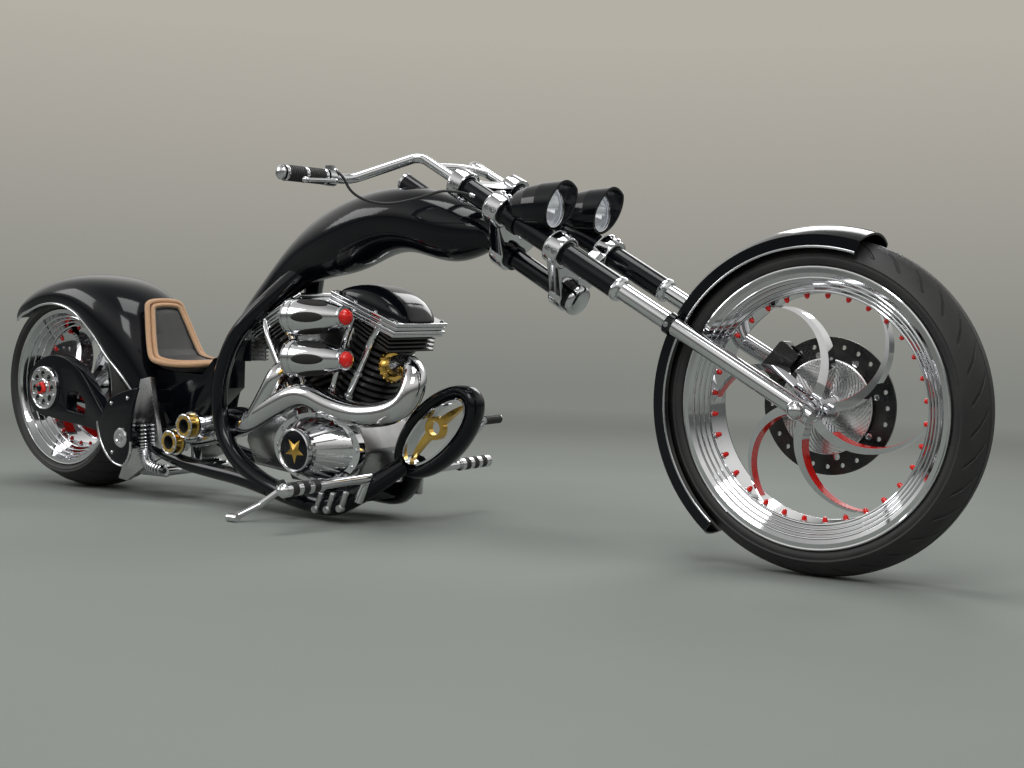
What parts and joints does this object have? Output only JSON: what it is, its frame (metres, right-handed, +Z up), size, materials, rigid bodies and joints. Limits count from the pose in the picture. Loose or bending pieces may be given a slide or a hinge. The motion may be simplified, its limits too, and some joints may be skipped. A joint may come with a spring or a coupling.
{
  "type": "chopper motorcycle",
  "caption": "Long raked chopper motorcycle with a V-twin engine, black bodywork and chrome, leaning on its side stand; wheels, fork and stand move.",
  "frame": {"origin": "bottom centre of the bounding box of the parked motorcycle", "axes": "+X forward, +Y to the rider's left, +Z up; the bike stands leaning to its right on its side stand"},
  "size_m": [3.2548, 0.9705, 0.988],
  "materials": {
    "black_paint": "high gloss",
    "chrome": "mirror polished",
    "tyre": "matte rubber",
    "steel": "satin",
    "alloy": "satin",
    "black_iron": "satin black enamel",
    "red": "gloss",
    "gold": "polished",
    "leather": "soft",
    "rubber": "matte",
    "lens": "clear"
  },
  "bodies": {
    "frame": {"neck_tube": "black_paint", "tank_body": "black_paint", "frame_rails": "black_paint", "front_loop": "black_paint", "loop_liner": "chrome", "loop_ornament": "gold", "crankcase": "alloy", "cylinders": "black_iron", "rocker_covers": "chrome", "rocker_pod": "black_paint", "gearbox": "alloy", "oil_cooler": "alloy", "primary_cover": "chrome", "cam_cover": "chrome", "cam_badge": "black_paint", "intake_stacks": "chrome", "intake_caps": "red", "intake_body": "alloy", "pushrod_tubes": "chrome", "exhaust_pipes": "chrome", "exhaust_tips": "gold", "rear_axle": "chrome", "swingarm": "black_paint", "pivot_plates": "alloy", "side_shields": "black_paint", "rear_fender": "black_paint", "seat_pan": "black_paint", "seat": "leather", "shock_springs": "chrome", "footpegs": "chrome", "stand_bracket": "black_paint"},
    "steering": {"fork_lowers": "chrome", "fork_uppers": "black_paint", "front_axle": "chrome", "fork_clamps": "chrome", "handlebars": "chrome", "grips": "rubber", "hand_levers": "chrome", "brake_hose": "rubber", "headlight_shells": "black_paint", "headlight_bowls": "chrome", "headlight_lenses": "lens", "front_fender": "black_paint", "front_caliper": "black_iron"},
    "front_wheel": {"front_tyre": "tyre", "front_rim": "chrome", "front_spokes": "chrome", "front_disc": "steel"},
    "rear_wheel": {"rear_tyre": "tyre", "rear_rim": "chrome", "rear_spokes": "chrome", "rear_disc": "steel"},
    "side_stand": {"side_stand": "chrome"}
  },
  "joints": [
    {"name": "steering", "type": "hinge", "parent": "frame", "child": "steering", "pos_m": [0.49506, 0.01225, 0.67678], "axis": [-0.866, -0.0262, 0.4993], "range_deg": [-30, 30]},
    {"name": "front_wheel", "type": "hinge", "parent": "steering", "child": "front_wheel", "pos_m": [1.2575, 0.02834, 0.36979], "axis": [0, 0.9986, 0.0523], "continuous": true},
    {"name": "rear_wheel", "type": "hinge", "parent": "frame", "child": "rear_wheel", "pos_m": [-1.2925, 0.03017, 0.33484], "axis": [0, 0.9986, 0.0523], "continuous": true},
    {"name": "side_stand", "type": "hinge", "parent": "frame", "child": "side_stand", "pos_m": [-0.1725, -0.18943, 0.09202], "axis": [-0.0501, 0.6378, -0.7686], "range_deg": [0, 60]}
  ]
}
